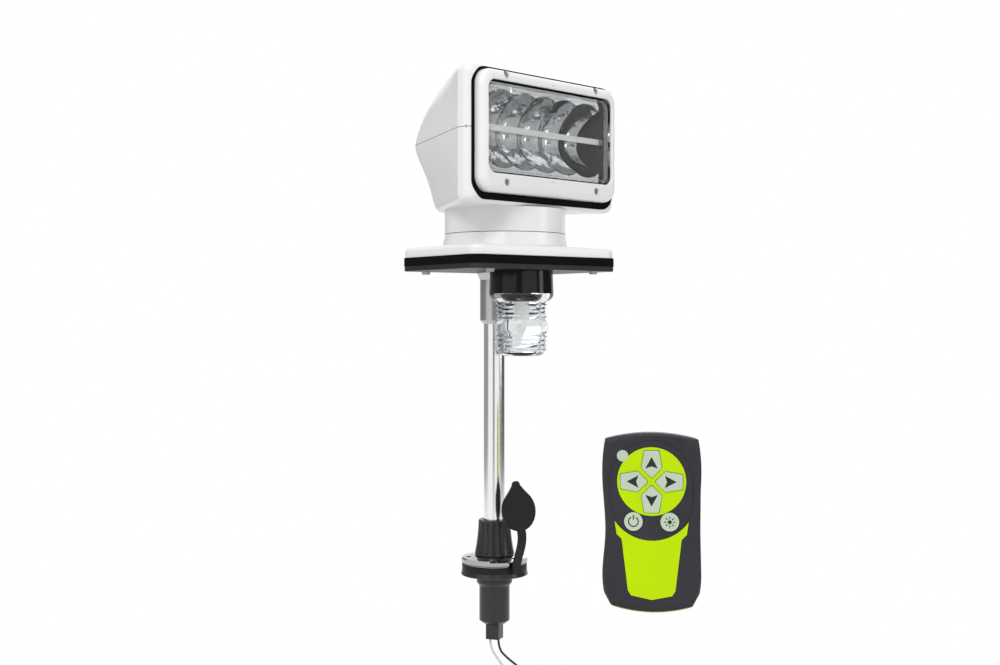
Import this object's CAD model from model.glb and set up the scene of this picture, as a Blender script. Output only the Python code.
import math

import bmesh
import bpy
from bpy.props import FloatProperty, FloatVectorProperty, PointerProperty
from bpy.types import Operator, Panel, PropertyGroup
from mathutils import Matrix, Vector


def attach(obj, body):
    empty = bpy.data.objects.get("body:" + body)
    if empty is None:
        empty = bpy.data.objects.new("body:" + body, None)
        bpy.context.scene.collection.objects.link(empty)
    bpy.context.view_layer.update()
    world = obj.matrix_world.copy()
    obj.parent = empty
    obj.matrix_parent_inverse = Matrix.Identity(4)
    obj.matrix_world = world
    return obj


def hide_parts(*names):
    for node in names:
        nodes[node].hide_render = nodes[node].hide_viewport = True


bl_info = {
    "name": "Remote control spotlight",
    "version": (1, 0, 0),
    "blender": (4, 5, 0),
    "location": "View3D > Sidebar > Spotlight",
    "description": "Dresses the spotlight, its all-round lamp, deck socket and handset",
    "category": "Object",
}

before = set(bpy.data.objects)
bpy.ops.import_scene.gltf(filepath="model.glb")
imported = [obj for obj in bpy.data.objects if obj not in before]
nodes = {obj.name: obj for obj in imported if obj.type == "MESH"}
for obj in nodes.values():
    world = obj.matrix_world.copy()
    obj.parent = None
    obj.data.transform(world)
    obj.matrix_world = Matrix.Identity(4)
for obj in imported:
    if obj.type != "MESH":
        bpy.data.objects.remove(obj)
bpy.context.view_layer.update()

MM = 0.001

# Turning axis of the head, and the bead round the inside of its front lens, in millimetres
TURRET = Vector((-3.862, -17.249, 0.0)) * MM
WINDOW_MIDDLE = 381.75
BEAD_FORWARD = 54.4
BEAD_HALF_WIDTH = 73.5
BEAD_HALF_HEIGHT = 35.0
BEAD_CORNER = 7.0
BEAD_WIDTH = 1.2
BEAD_SINK = 0.02
BEAD_RISE = 0.7
BEAD_ROUND = 0.25

# Handset frame: local X to the right of its face, Y up, Z out of its keys
HANDSET = Matrix.Translation(Vector((-25.7, -195.5, 0.0)) * MM) @ Matrix(
    (
        (0.61429, 0.0, -0.78908, 0.0),
        (-0.78908, 0.0, -0.61429, 0.0),
        (0.0, 1.0, 0.0, 0.0),
        (0.0, 0.0, 0.0, 1.0),
    )
)
PAD_LEVEL = 102.4
ROUND_KEY_ACROSS = 13.7
ROUND_KEY_LEVEL = 72.0
KEY_TOP = 15.3
INK_THICKNESS = 0.05

# Printed marks, each from the middle of its key or pad
ARROW_MARK = [(18.8, 0.0), (10.0, 4.7), (11.6, 0.0), (10.0, -4.7)]
POWER_RING = (4.1, 3.25)
POWER_GAP = 60
POWER_BAR = [(-0.45, 1.4), (0.45, 1.4), (0.45, 5.0), (-0.45, 5.0)]
LIGHT_RADIUS = 1.5
LIGHT_RAY = [(2.4, -0.36), (4.2, -0.36), (4.2, 0.36), (2.4, 0.36)]
LIGHT_RAYS = 8

# Routes of the two supply wires, as distance across the view and height, in millimetres
WHITE_WIRE = [
    (-3.9, -57.1),
    (-3.9, -65.0),
    (3.0, -76.0),
    (14.0, -90.0),
    (18.0, -108.0),
    (18.5, -130.0),
    (16.5, -152.0),
    (17.0, -168.0),
]
BLACK_WIRE = [
    (3.5, -57.1),
    (3.5, -66.5),
    (11.5, -75.0),
    (24.0, -84.5),
    (33.0, -98.0),
    (37.0, -116.0),
    (37.5, -138.0),
    (35.5, -159.0),
    (36.0, -175.0),
]
WIRE_ACROSS = Vector((0.70091, -0.71325, 0.0))
WHITE_WIRE_LENGTH = 0.117
BLACK_WIRE_LENGTH = 0.130
STRANDS = 7
STRAND_STEPS = 7
STRAND_SIDES = 6
STRAND_TWIST = 20
STRAND_HIDDEN = 0.001

# Camera of the photograph
CAMERA_LENS = 47.74
CAMERA_SENSOR = 36.0
CAMERA_SHIFT = -0.0145
CAMERA_PLACE = (-0.8345, -0.8269, 0.2264)
CAMERA_TURN = -45.5
CAMERA_SIDE = Vector((-0.7133, -0.7009, 0.0))

# Boxes of light: name, place, size, power
LIGHT_BOXES = (
    ("key", (-1.5, -0.7, 1.5), (1.2, 0.8), 20.0),
    ("fill", (0.9, -1.7, 0.7), (0.5, 1.2), 5.5),
    ("top", (0.1, 0.2, 1.9), (1.0, 1.0), 3.0),
    ("back", (1.4, 0.9, 0.8), (0.6, 1.2), 3.0),
)
AIM = Vector((0, 0, 0.25))
SOFT_LIGHT = 0.62

# Cards that only reflections see, and one that clear parts see too:
# name, bearing from the camera's side, width, grey, seen through clear parts
CARDS = (
    ("card_left", -115.0, 4.0, 0.3, True),
    ("card_middle", -8.0, 0.7, 0.22, False),
    ("card_right", 94.0, 3.2, 0.07, False),
)
CARD_DISTANCE = 2.0
CARD_LEVEL = 0.5
CARD_HEIGHT = 1.6

# Floor: its level, its radius, and how far from the object its shadow fades out to plain white
FLOOR_LEVEL = -0.19
FLOOR_RADIUS = 4.0
FADE_START = 0.1
FADE_END = 0.8
FADE_SHARE = 0.9


class ShellFinish(PropertyGroup):
    """Finish of the white mouldings"""

    colour: FloatVectorProperty(
        name="Colour",
        description="Colour of the white mouldings",
        subtype="COLOR",
        default=(0.79, 0.79, 0.785),
    )
    roughness: FloatProperty(
        name="Roughness",
        description="Roughness of the white mouldings",
        subtype="FACTOR",
        default=0.34,
    )


class HandsetFinish(PropertyGroup):
    """Colours of the handset"""

    body: FloatVectorProperty(
        name="Body",
        description="Colour of the handset's shell",
        subtype="COLOR",
        default=(0.03, 0.028, 0.036),
    )
    rubber: FloatVectorProperty(
        name="Rubber",
        description="Colour of its pad, grip and back shell",
        subtype="COLOR",
        default=(0.5, 0.76, 0.0),
    )
    keys: FloatVectorProperty(
        name="Keys",
        description="Colour of its keys",
        subtype="COLOR",
        default=(0.5, 0.6, 0.46),
    )


class WireSizes(PropertyGroup):
    """Sizes of the supply wires"""

    diameter: FloatProperty(
        name="Diameter", description="Diameter over the insulation", unit="LENGTH", default=0.002
    )
    bared: FloatProperty(
        name="Bared end", description="Length of bare strands at the end", unit="LENGTH", default=0.004
    )


def blank_material(name):
    """A new material with its shader and links, ready for nodes."""
    material = bpy.data.materials.new(name)
    material.use_nodes = True
    tree = material.node_tree
    return material, tree, tree.nodes["Principled BSDF"]


def finish(
    name,
    colour,
    roughness,
    metallic=0.0,
    grain=300.0,
    depth=0.02,
    vary=0.04,
    coat=0.0,
    specular=0.5,
    stretch=(1.0, 1.0, 1.0),
):
    """A moulded, painted or metal finish: broad colour variation, uneven gloss and a fine grain."""
    material, tree, shader = blank_material(name)
    shader.inputs["Metallic"].default_value = metallic
    shader.inputs["Coat Weight"].default_value = coat
    shader.inputs["Coat Roughness"].default_value = 0.12
    shader.inputs["Specular IOR Level"].default_value = specular
    coords = tree.nodes.new("ShaderNodeTexCoord")
    mapping = tree.nodes.new("ShaderNodeMapping")
    mapping.inputs["Scale"].default_value = stretch
    tree.links.new(coords.outputs["Object"], mapping.inputs["Vector"])

    cloud = tree.nodes.new("ShaderNodeTexNoise")
    cloud.inputs["Scale"].default_value = 22.0
    cloud.inputs["Detail"].default_value = 3.0
    tree.links.new(mapping.outputs["Vector"], cloud.inputs["Vector"])
    ramp = tree.nodes.new("ShaderNodeValToRGB")
    ramp.color_ramp.elements[0].position = 0.3
    ramp.color_ramp.elements[1].position = 0.7
    ramp.color_ramp.elements[0].color = [c * (1 - vary) for c in colour] + [1.0]
    ramp.color_ramp.elements[1].color = [min(c * (1 + vary), 1.0) for c in colour] + [1.0]
    tree.links.new(cloud.outputs["Fac"], ramp.inputs["Fac"])
    tree.links.new(ramp.outputs["Color"], shader.inputs["Base Color"])

    gloss = tree.nodes.new("ShaderNodeMapRange")
    gloss.inputs["To Min"].default_value = roughness * 0.85
    gloss.inputs["To Max"].default_value = min(roughness * 1.15, 1.0)
    tree.links.new(cloud.outputs["Fac"], gloss.inputs["Value"])
    tree.links.new(gloss.outputs["Result"], shader.inputs["Roughness"])

    fine = tree.nodes.new("ShaderNodeTexNoise")
    fine.inputs["Scale"].default_value = grain
    fine.inputs["Detail"].default_value = 2.0
    tree.links.new(mapping.outputs["Vector"], fine.inputs["Vector"])
    bump = tree.nodes.new("ShaderNodeBump")
    bump.inputs["Strength"].default_value = 1.0
    bump.inputs["Distance"].default_value = depth * MM
    tree.links.new(fine.outputs["Fac"], bump.inputs["Height"])
    tree.links.new(bump.outputs["Normal"], shader.inputs["Normal"])
    return material


def clear(name, colour, roughness, ior, depth=0.01, grain=60.0):
    """A clear moulding with a trace of waviness."""
    material, tree, shader = blank_material(name)
    shader.inputs["Base Color"].default_value = (*colour, 1.0)
    shader.inputs["Transmission Weight"].default_value = 1.0
    shader.inputs["Roughness"].default_value = roughness
    shader.inputs["IOR"].default_value = ior
    coords = tree.nodes.new("ShaderNodeTexCoord")
    wave = tree.nodes.new("ShaderNodeTexNoise")
    wave.inputs["Scale"].default_value = grain
    tree.links.new(coords.outputs["Object"], wave.inputs["Vector"])
    bump = tree.nodes.new("ShaderNodeBump")
    bump.inputs["Strength"].default_value = 0.6
    bump.inputs["Distance"].default_value = depth * MM
    tree.links.new(wave.outputs["Fac"], bump.inputs["Height"])
    tree.links.new(bump.outputs["Normal"], shader.inputs["Normal"])
    return material


def paint(material, *names):
    """Gives CAD nodes one material."""
    for name in names:
        data = nodes[name].data
        data.materials.clear()
        data.materials.append(material)


def piece(name, mesh_builder, material, body, bevel=0.0, smooth=True):
    """A new mesh piece that rides on a body. The builder fills a bmesh in metres, in the row frame."""
    built = bmesh.new()
    mesh_builder(built)
    bmesh.ops.recalc_face_normals(built, faces=built.faces)
    data = bpy.data.meshes.new(name)
    built.to_mesh(data)
    built.free()
    if smooth:
        data.shade_smooth()
    obj = bpy.data.objects.new(name, data)
    bpy.context.scene.collection.objects.link(obj)
    data.materials.append(material)
    if bevel:
        rounding = obj.modifiers.new("Rounding", "BEVEL")
        rounding.width = bevel * MM
        rounding.segments = 3
        rounding.limit_method = "ANGLE"
        rounding.angle_limit = math.radians(40)
        rounding.harden_normals = True
    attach(obj, body)
    return obj


def slab(built, outline, place, base, top):
    """A plate with this outline, between two local heights, put in place by a matrix."""
    low = [built.verts.new(place @ Vector((x * MM, y * MM, base * MM))) for x, y in outline]
    high = [built.verts.new(place @ Vector((x * MM, y * MM, top * MM))) for x, y in outline]
    built.faces.new(low[::-1])
    built.faces.new(high)
    for n in range(len(outline)):
        m = (n + 1) % len(outline)
        built.faces.new((low[n], low[m], high[m], high[n]))


def frame_strip(built, outer, inner, place, base, top):
    """A flat frame between an outer and an inner outline of equal counts."""
    rings = []
    for outline, height in ((outer, base), (outer, top), (inner, top), (inner, base)):
        rings.append([built.verts.new(place @ Vector((x * MM, y * MM, height * MM))) for x, y in outline])
    count = len(outer)
    for a, b in zip(rings, rings[1:] + rings[:1]):
        for n in range(count):
            m = (n + 1) % count
            built.faces.new((a[n], a[m], b[m], b[n]))


def rounded_rectangle(half_width, half_height, corner, steps=6):
    """Outline of a rounded rectangle round the origin."""
    points = []
    for quarter, (sx, sy) in enumerate(((1, 1), (-1, 1), (-1, -1), (1, -1))):
        for n in range(steps + 1):
            angle = math.radians(90 * quarter + 90 * n / steps)
            x = sx * (half_width - corner) + corner * math.cos(angle)
            y = sy * (half_height - corner) + corner * math.sin(angle)
            points.append((x, y))
    return points


def face_place(forward, level):
    """Matrix of an upright plane across the head: local X to +X, Y up and Z forward."""
    centre = TURRET + Vector((0, -forward * MM, level * MM))
    turn = Matrix(((1, 0, 0, 0), (0, 0, -1, 0), (0, 1, 0, 0), (0, 0, 0, 1)))
    return Matrix.Translation(centre) @ turn


class SPOT_OT_shell(Operator):
    """Finish the white head, neck, base and bezel, and the black seal, gasket and plate"""

    bl_idname = "spot.shell"
    bl_label = "Head and base"

    def execute(self, context):
        look = context.scene.spot_shell
        white = finish(
            "white_moulding",
            look.colour,
            look.roughness,
            grain=900.0,
            depth=0.004,
            vary=0.012,
            coat=0.35,
        )
        paint(white, "lower_shell", "upper_shell", "turning_neck", "turret_base", "lamp_bezel")
        rubber = finish(
            "black_rubber",
            (0.005, 0.005, 0.005),
            0.6,
            grain=700.0,
            depth=0.03,
            vary=0.2,
            specular=0.03,
        )
        paint(rubber, "opening_seal", "base_gasket")
        coat = finish(
            "crackle_coat",
            (0.008, 0.008, 0.008),
            0.42,
            grain=1100.0,
            depth=0.35,
            vary=0.4,
            specular=0.4,
        )
        paint(coat, "mounting_plate")
        return {"FINISHED"}


class SPOT_OT_metal(Operator):
    """Finish the pole, its sleeve, the trim ring and the screws"""

    bl_idname = "spot.metal"
    bl_label = "Pole and metal"

    def execute(self, context):
        tube = finish(
            "drawn_tube",
            (0.88, 0.88, 0.89),
            0.17,
            1.0,
            grain=900.0,
            depth=0.01,
            vary=0.05,
            stretch=(1.0, 1.0, 0.03),
        )
        paint(tube, "pole_tube", "cooling_fins")
        turned = finish(
            "turned_sleeve",
            (0.5, 0.51, 0.52),
            0.3,
            1.0,
            grain=500.0,
            depth=0.012,
            stretch=(0.1, 0.1, 1.0),
        )
        paint(turned, "top_sleeve", "pan_drive")
        chrome = finish(
            "polished_chrome",
            (0.42, 0.42, 0.43),
            0.08,
            1.0,
            grain=90.0,
            depth=0.25,
            vary=0.02,
        )
        paint(chrome, "trim_ring")
        steel = finish("screw_steel", (0.3, 0.3, 0.31), 0.28, 1.0, grain=600.0, depth=0.01)
        paint(steel, "plate_screws", "bezel_screws")
        return {"FINISHED"}


class SPOT_OT_socket(Operator):
    """Finish the deck socket, its cap and the fluted collar"""

    bl_idname = "spot.socket"
    bl_label = "Deck socket"

    def execute(self, context):
        dark = finish(
            "filled_nylon",
            (0.014, 0.014, 0.015),
            0.3,
            grain=800.0,
            depth=0.02,
            vary=0.15,
            specular=0.5,
        )
        paint(dark, "socket_body", "lock_collar", "pole_plug")
        rubber = finish(
            "cap_rubber",
            (0.007, 0.007, 0.008),
            0.5,
            grain=500.0,
            depth=0.03,
            vary=0.2,
            specular=0.25,
        )
        paint(rubber, "cap_ring", "socket_cap")
        return {"FINISHED"}


class SPOT_OT_anchor_lamp(Operator):
    """Finish the all-round lamp under the plate"""

    bl_idname = "spot.anchor_lamp"
    bl_label = "All-round lamp"

    def execute(self, context):
        black = finish(
            "black_gloss",
            (0.005, 0.005, 0.006),
            0.14,
            grain=700.0,
            depth=0.004,
            vary=0.1,
            specular=0.3,
        )
        paint(black, "lamp_cap", "lamp_holder")
        lens = clear("ribbed_lens", (0.84, 0.86, 0.87), 0.03, 1.4)
        paint(lens, "lamp_lens")
        bulb = finish("frosted_bulb", (0.86, 0.86, 0.84), 0.3, grain=300.0, depth=0.01, vary=0.02)
        glowing = bulb.node_tree.nodes["Principled BSDF"]
        glowing.inputs["Emission Color"].default_value = (1.0, 1.0, 0.98, 1.0)
        glowing.inputs["Emission Strength"].default_value = 0.25
        paint(bulb, "lamp_bulb")
        return {"FINISHED"}


class SPOT_OT_optics(Operator):
    """Finish the reflector, shelf, housing and front lens, and add the lens's inner bead"""

    bl_idname = "spot.optics"
    bl_label = "Lamp optics"

    def execute(self, context):
        mirror = finish(
            "vacuum_metal",
            (0.56, 0.57, 0.58),
            0.035,
            1.0,
            grain=80.0,
            depth=1.4,
            vary=0.25,
            stretch=(1.0, 1.0, 0.6),
        )
        paint(mirror, "reflector")
        shelf = finish("plated_shelf", (0.6, 0.6, 0.6), 0.12, 1.0, grain=120.0, depth=0.3)
        paint(shelf, "led_shelf")
        housing = finish("housing_black", (0.02, 0.02, 0.022), 0.4, grain=500.0, depth=0.02, vary=0.1)
        paint(housing, "lamp_housing", "tilt_drive")
        board = finish("circuit_board", (0.02, 0.12, 0.06), 0.4, grain=300.0, depth=0.02, vary=0.3)
        paint(board, "control_board")
        glass = clear("front_glass", (0.96, 0.97, 0.97), 0.005, 1.45, depth=0.004)
        paint(glass, "front_lens")
        bead_glass = clear("bead_glass", (0.9, 0.92, 0.93), 0.02, 1.5, depth=0.01)
        place = face_place(BEAD_FORWARD, WINDOW_MIDDLE)
        outer = rounded_rectangle(BEAD_HALF_WIDTH, BEAD_HALF_HEIGHT, BEAD_CORNER)
        inner_width, inner_height = BEAD_HALF_WIDTH - BEAD_WIDTH, BEAD_HALF_HEIGHT - BEAD_WIDTH
        inner = rounded_rectangle(inner_width, inner_height, BEAD_CORNER - 1)

        def bead(built):
            frame_strip(built, outer, inner, place, BEAD_SINK, BEAD_RISE)

        piece("lens_bead", bead, bead_glass, "lamp", bevel=BEAD_ROUND)
        return {"FINISHED"}


class SPOT_OT_handset(Operator):
    """Finish the handset and print the marks on its keys"""

    bl_idname = "spot.handset"
    bl_label = "Handset"

    def execute(self, context):
        look = context.scene.spot_handset
        body = finish(
            "handset_body",
            look.body,
            0.5,
            grain=1400.0,
            depth=0.05,
            vary=0.12,
            specular=0.25,
        )
        paint(body, "handset_front")
        rubber = finish(
            "lime_rubber",
            look.rubber,
            0.42,
            grain=900.0,
            depth=0.01,
            vary=0.03,
            specular=0.1,
        )
        paint(rubber, "handset_back", "key_pad", "grip_panel")
        keys = finish("pale_keys", look.keys, 0.35, grain=900.0, depth=0.008, vary=0.03)
        paint(keys, *[n for n in nodes if "_key_" in n])
        lens = finish("indicator_lens", (0.52, 0.6, 0.46), 0.2, grain=300.0, depth=0.01)
        paint(lens, "indicator_lens")
        board = finish("handset_board", (0.02, 0.12, 0.06), 0.4, grain=300.0, depth=0.02, vary=0.3)
        paint(board, "handset_board")
        cell = finish("battery_wrap", (0.03, 0.03, 0.035), 0.4, grain=300.0, depth=0.01)
        paint(cell, "handset_battery")

        ink = finish("key_ink", (0.006, 0.006, 0.006), 0.45, grain=900.0, depth=0.002, vary=0.1)
        ink_top = KEY_TOP + INK_THICKNESS
        centre = Matrix.Translation(Vector((0, PAD_LEVEL * MM, 0)))
        for n in range(4):
            place = HANDSET @ centre @ Matrix.Rotation(math.radians(90 * n), 4, "Z")

            def arrow(built):
                slab(built, ARROW_MARK, place, KEY_TOP, ink_top)

            piece(f"arrow_mark_{n + 1}", arrow, ink, f"arrow_button_{n + 1}", smooth=False)

        power = HANDSET @ Matrix.Translation(Vector((-ROUND_KEY_ACROSS, ROUND_KEY_LEVEL, 0)) * MM)

        def power_mark(built):
            start, sweep = 90 + POWER_GAP / 2, 360 - POWER_GAP
            turns = [math.radians(start + sweep * n / 32) for n in range(33)]
            outer, inner = [[(r * math.cos(a), r * math.sin(a)) for a in turns] for r in POWER_RING]
            slab(built, outer + inner[::-1], power, KEY_TOP, ink_top)
            slab(built, POWER_BAR, power, KEY_TOP, ink_top)

        piece("power_mark", power_mark, ink, "round_button_1", smooth=False)

        light = HANDSET @ Matrix.Translation(Vector((ROUND_KEY_ACROSS, ROUND_KEY_LEVEL, 0)) * MM)

        def light_mark(built):
            turns = [math.radians(15 * n) for n in range(24)]
            disc = [(LIGHT_RADIUS * math.cos(a), LIGHT_RADIUS * math.sin(a)) for a in turns]
            slab(built, disc, light, KEY_TOP, ink_top)
            for n in range(LIGHT_RAYS):
                place = light @ Matrix.Rotation(math.radians(360 * n / LIGHT_RAYS), 4, "Z")
                slab(built, LIGHT_RAY, place, KEY_TOP, ink_top)

        piece("light_mark", light_mark, ink, "round_button_2", smooth=False)
        return {"FINISHED"}


class SPOT_OT_wires(Operator):
    """Run the two supply wires out of the socket, each with its bared end"""

    bl_idname = "spot.wires"
    bl_label = "Supply wires"

    def execute(self, context):
        sizes = context.scene.spot_wires
        copper = finish("tinned_copper", (0.6, 0.45, 0.32), 0.35, 1.0, grain=900.0, depth=0.05)
        routes = (
            ("white", WHITE_WIRE, (0.62, 0.62, 0.6), "wire_white", WHITE_WIRE_LENGTH),
            ("black", BLACK_WIRE, (0.012, 0.012, 0.012), "wire_black", BLACK_WIRE_LENGTH),
        )
        for colour_name, route, colour, node, length in routes:
            skin = finish(f"{colour_name}_insulation", colour, 0.32, grain=700.0, depth=0.01, vary=0.05)
            curve = bpy.data.curves.new(f"{colour_name}_wire", "CURVE")
            curve.dimensions = "3D"
            curve.bevel_depth = sizes.diameter / 2
            curve.bevel_resolution = 6
            curve.resolution_u = 16
            curve.use_fill_caps = True
            spline = curve.splines.new("NURBS")
            spline.points.add(len(route) - 1)
            for point, (across, height) in zip(spline.points, route):
                spot = WIRE_ACROSS * across * MM + Vector((0, 0, height * MM))
                point.co = (*spot, 1.0)
            spline.order_u = 3
            spline.use_endpoint_u = True
            curve.materials.append(skin)
            wire = bpy.data.objects.new(f"{colour_name}_wire", curve)
            context.scene.collection.objects.link(wire)
            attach(wire, "socket")
            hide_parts(node)

            end = Vector(spline.points[-1].co[:3])
            back = (Vector(spline.points[-2].co[:3]) - end).normalized()
            across_end = back.orthogonal().normalized()
            side_end = back.cross(across_end)

            def strands(built):
                turns = [math.radians(360 * m / STRAND_SIDES) for m in range(STRAND_SIDES)]
                section = [across_end * math.cos(a) + side_end * math.sin(a) for a in turns]
                thickness = sizes.diameter * 0.11
                for n in range(STRANDS):
                    reach = 0.0 if n == 0 else sizes.diameter * 0.2
                    rings = []
                    for k in range(STRAND_STEPS):
                        twist = math.radians(STRAND_TWIST * k + 60 * n)
                        offset = across_end * reach * math.cos(twist) + side_end * reach * math.sin(twist)
                        run = STRAND_HIDDEN - k * (sizes.bared + STRAND_HIDDEN) / (STRAND_STEPS - 1)
                        heart = end + offset + back * run
                        rings.append([built.verts.new(heart + way * thickness) for way in section])
                    for low, high in zip(rings, rings[1:]):
                        for m in range(STRAND_SIDES):
                            after = (m + 1) % STRAND_SIDES
                            built.faces.new((low[m], low[after], high[after], high[m]))
                    built.faces.new(rings[-1])
                    built.faces.new(rings[0][::-1])

            bared = piece(f"{colour_name}_strands", strands, copper, "socket")
        return {"FINISHED"}


class SPOT_OT_stage(Operator):
    """Set the floor, the light and the camera at the photograph's viewing angle"""

    bl_idname = "spot.stage"
    bl_label = "Stage"

    def execute(self, context):
        scene = context.scene
        scene.view_settings.view_transform = "Standard"

        camera_data = bpy.data.cameras.new("Camera")
        camera_data.lens = CAMERA_LENS
        camera_data.sensor_width = CAMERA_SENSOR
        camera_data.shift_y = CAMERA_SHIFT
        camera = bpy.data.objects.new("Camera", camera_data)
        camera.location = CAMERA_PLACE
        camera.rotation_euler = (math.radians(90), 0, math.radians(CAMERA_TURN))
        scene.collection.objects.link(camera)
        scene.camera = camera

        world = bpy.data.worlds.new("Studio")
        world.use_nodes = True
        tree = world.node_tree
        tree.nodes.clear()
        output = tree.nodes.new("ShaderNodeOutputWorld")
        rays = tree.nodes.new("ShaderNodeLightPath")
        seen = tree.nodes.new("ShaderNodeMath")
        seen.operation = "MAXIMUM"
        tree.links.new(rays.outputs["Is Camera Ray"], seen.inputs[0])
        tree.links.new(rays.outputs["Is Transmission Ray"], seen.inputs[1])
        either = tree.nodes.new("ShaderNodeMath")
        either.operation = "MAXIMUM"
        tree.links.new(seen.outputs["Value"], either.inputs[0])
        tree.links.new(rays.outputs["Is Glossy Ray"], either.inputs[1])
        soft = tree.nodes.new("ShaderNodeBackground")
        soft.inputs["Color"].default_value = (1.0, 1.0, 1.0, 1.0)
        soft.inputs["Strength"].default_value = SOFT_LIGHT
        white = tree.nodes.new("ShaderNodeBackground")
        white.inputs["Color"].default_value = (1.0, 1.0, 1.0, 1.0)
        white.inputs["Strength"].default_value = 1.0
        mix = tree.nodes.new("ShaderNodeMixShader")
        tree.links.new(either.outputs["Value"], mix.inputs["Fac"])
        tree.links.new(soft.outputs["Background"], mix.inputs[1])
        tree.links.new(white.outputs["Background"], mix.inputs[2])
        tree.links.new(mix.outputs["Shader"], output.inputs["Surface"])
        scene.world = world

        for name, place, size, power in LIGHT_BOXES:
            lamp_data = bpy.data.lights.new(name, "AREA")
            lamp_data.shape = "RECTANGLE"
            lamp_data.size, lamp_data.size_y = size
            lamp_data.energy = power
            lamp = bpy.data.objects.new(name, lamp_data)
            lamp.location = place
            aim = AIM - Vector(place)
            lamp.rotation_euler = aim.to_track_quat("-Z", "Y").to_euler()
            scene.collection.objects.link(lamp)

        for name, bearing, width, grey, through in CARDS:
            card_material, _, card_shader = blank_material(name)
            card_shader.inputs["Base Color"].default_value = (0.01, 0.01, 0.01, 1.0)
            card_shader.inputs["Roughness"].default_value = 0.9
            card_shader.inputs["Emission Color"].default_value = (1.0, 1.0, 1.0, 1.0)
            card_shader.inputs["Emission Strength"].default_value = grey
            built = bmesh.new()
            bmesh.ops.create_grid(built, x_segments=1, y_segments=1, size=0.5)
            data = bpy.data.meshes.new(name)
            built.to_mesh(data)
            built.free()
            data.materials.append(card_material)
            card = bpy.data.objects.new(name, data)
            away = Matrix.Rotation(math.radians(bearing), 3, "Z") @ CAMERA_SIDE
            card.location = away * CARD_DISTANCE + Vector((0, 0, CARD_LEVEL))
            card.scale = (width, CARD_HEIGHT, 1.0)
            card.rotation_euler = (-away).to_track_quat("Z", "Y").to_euler()
            card.visible_camera = False
            card.visible_diffuse = False
            card.visible_shadow = False
            card.visible_transmission = through
            scene.collection.objects.link(card)

        floor_material, floor_tree, floor_shader = blank_material("pale_floor")
        floor_shader.inputs["Base Color"].default_value = (0.86, 0.86, 0.86, 1.0)
        floor_shader.inputs["Roughness"].default_value = 0.8
        floor_rays = floor_tree.nodes.new("ShaderNodeLightPath")
        glow = floor_tree.nodes.new("ShaderNodeEmission")
        glow.inputs["Color"].default_value = (1.0, 1.0, 1.0, 1.0)
        glow.inputs["Strength"].default_value = 1.0
        spot = floor_tree.nodes.new("ShaderNodeTexCoord")
        reach = floor_tree.nodes.new("ShaderNodeVectorMath")
        reach.operation = "LENGTH"
        floor_tree.links.new(spot.outputs["Object"], reach.inputs[0])
        fade = floor_tree.nodes.new("ShaderNodeMapRange")
        fade.interpolation_type = "SMOOTHSTEP"
        fade.inputs["From Min"].default_value = FADE_START
        fade.inputs["From Max"].default_value = FADE_END
        fade.inputs["To Min"].default_value = FADE_SHARE
        fade.inputs["To Max"].default_value = 1.0
        floor_tree.links.new(reach.outputs["Value"], fade.inputs["Value"])
        share = floor_tree.nodes.new("ShaderNodeMath")
        share.operation = "MULTIPLY"
        floor_tree.links.new(fade.outputs["Result"], share.inputs[1])
        blend = floor_tree.nodes.new("ShaderNodeMixShader")
        floor_seen = floor_tree.nodes.new("ShaderNodeMath")
        floor_seen.operation = "MAXIMUM"
        floor_tree.links.new(floor_rays.outputs["Is Camera Ray"], floor_seen.inputs[0])
        floor_tree.links.new(floor_rays.outputs["Is Glossy Ray"], floor_seen.inputs[1])
        floor_tree.links.new(floor_seen.outputs["Value"], share.inputs[0])
        floor_tree.links.new(share.outputs["Value"], blend.inputs["Fac"])
        floor_tree.links.new(floor_shader.outputs["BSDF"], blend.inputs[1])
        floor_tree.links.new(glow.outputs["Emission"], blend.inputs[2])
        floor_tree.links.new(blend.outputs["Shader"], floor_tree.nodes["Material Output"].inputs["Surface"])
        built = bmesh.new()
        bmesh.ops.create_circle(built, cap_ends=True, segments=96, radius=FLOOR_RADIUS)
        data = bpy.data.meshes.new("floor")
        built.to_mesh(data)
        built.free()
        data.materials.append(floor_material)
        floor = bpy.data.objects.new("floor", data)
        floor.location = (0, 0, FLOOR_LEVEL)
        scene.collection.objects.link(floor)
        return {"FINISHED"}


class SPOT_PT_panel(Panel):
    """Lists the spotlight's pieces and their sizes and colours"""

    bl_idname = "SPOT_PT_panel"
    bl_label = "Spotlight"
    bl_space_type = "VIEW_3D"
    bl_region_type = "UI"
    bl_category = "Spotlight"

    def draw(self, context):
        scene = context.scene
        layout = self.layout
        for group in (scene.spot_shell, scene.spot_handset, scene.spot_wires):
            box = layout.box()
            for name in type(group).__annotations__:
                box.prop(group, name)
        for operator in OPERATORS:
            layout.operator(operator.bl_idname)


GROUPS = (ShellFinish, HandsetFinish, WireSizes)
OPERATORS = (
    SPOT_OT_stage,
    SPOT_OT_wires,
    SPOT_OT_shell,
    SPOT_OT_metal,
    SPOT_OT_socket,
    SPOT_OT_anchor_lamp,
    SPOT_OT_optics,
    SPOT_OT_handset,
)


def register():
    """Registers the groups, operators and panel."""
    for item in GROUPS + OPERATORS + (SPOT_PT_panel,):
        bpy.utils.register_class(item)
    bpy.types.Scene.spot_shell = PointerProperty(type=ShellFinish)
    bpy.types.Scene.spot_handset = PointerProperty(type=HandsetFinish)
    bpy.types.Scene.spot_wires = PointerProperty(type=WireSizes)


def unregister():
    """Removes the groups, operators and panel."""
    del bpy.types.Scene.spot_wires
    del bpy.types.Scene.spot_handset
    del bpy.types.Scene.spot_shell
    for item in reversed(GROUPS + OPERATORS + (SPOT_PT_panel,)):
        bpy.utils.unregister_class(item)


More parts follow.
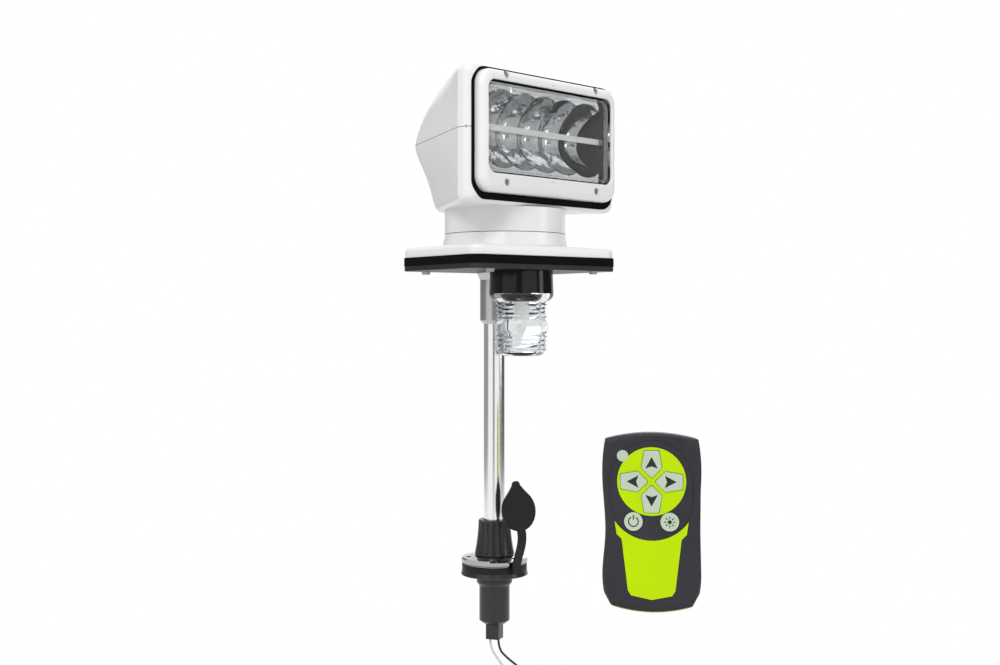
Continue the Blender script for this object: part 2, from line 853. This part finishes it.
def main():
    """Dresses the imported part, piece by piece, and notes its size."""
    register()
    bpy.ops.spot.stage()
    bpy.ops.spot.wires()
    bpy.ops.spot.shell()
    bpy.ops.spot.metal()
    bpy.ops.spot.socket()
    bpy.ops.spot.anchor_lamp()
    bpy.ops.spot.optics()
    bpy.ops.spot.handset()


if __name__ == "__main__":
    main()
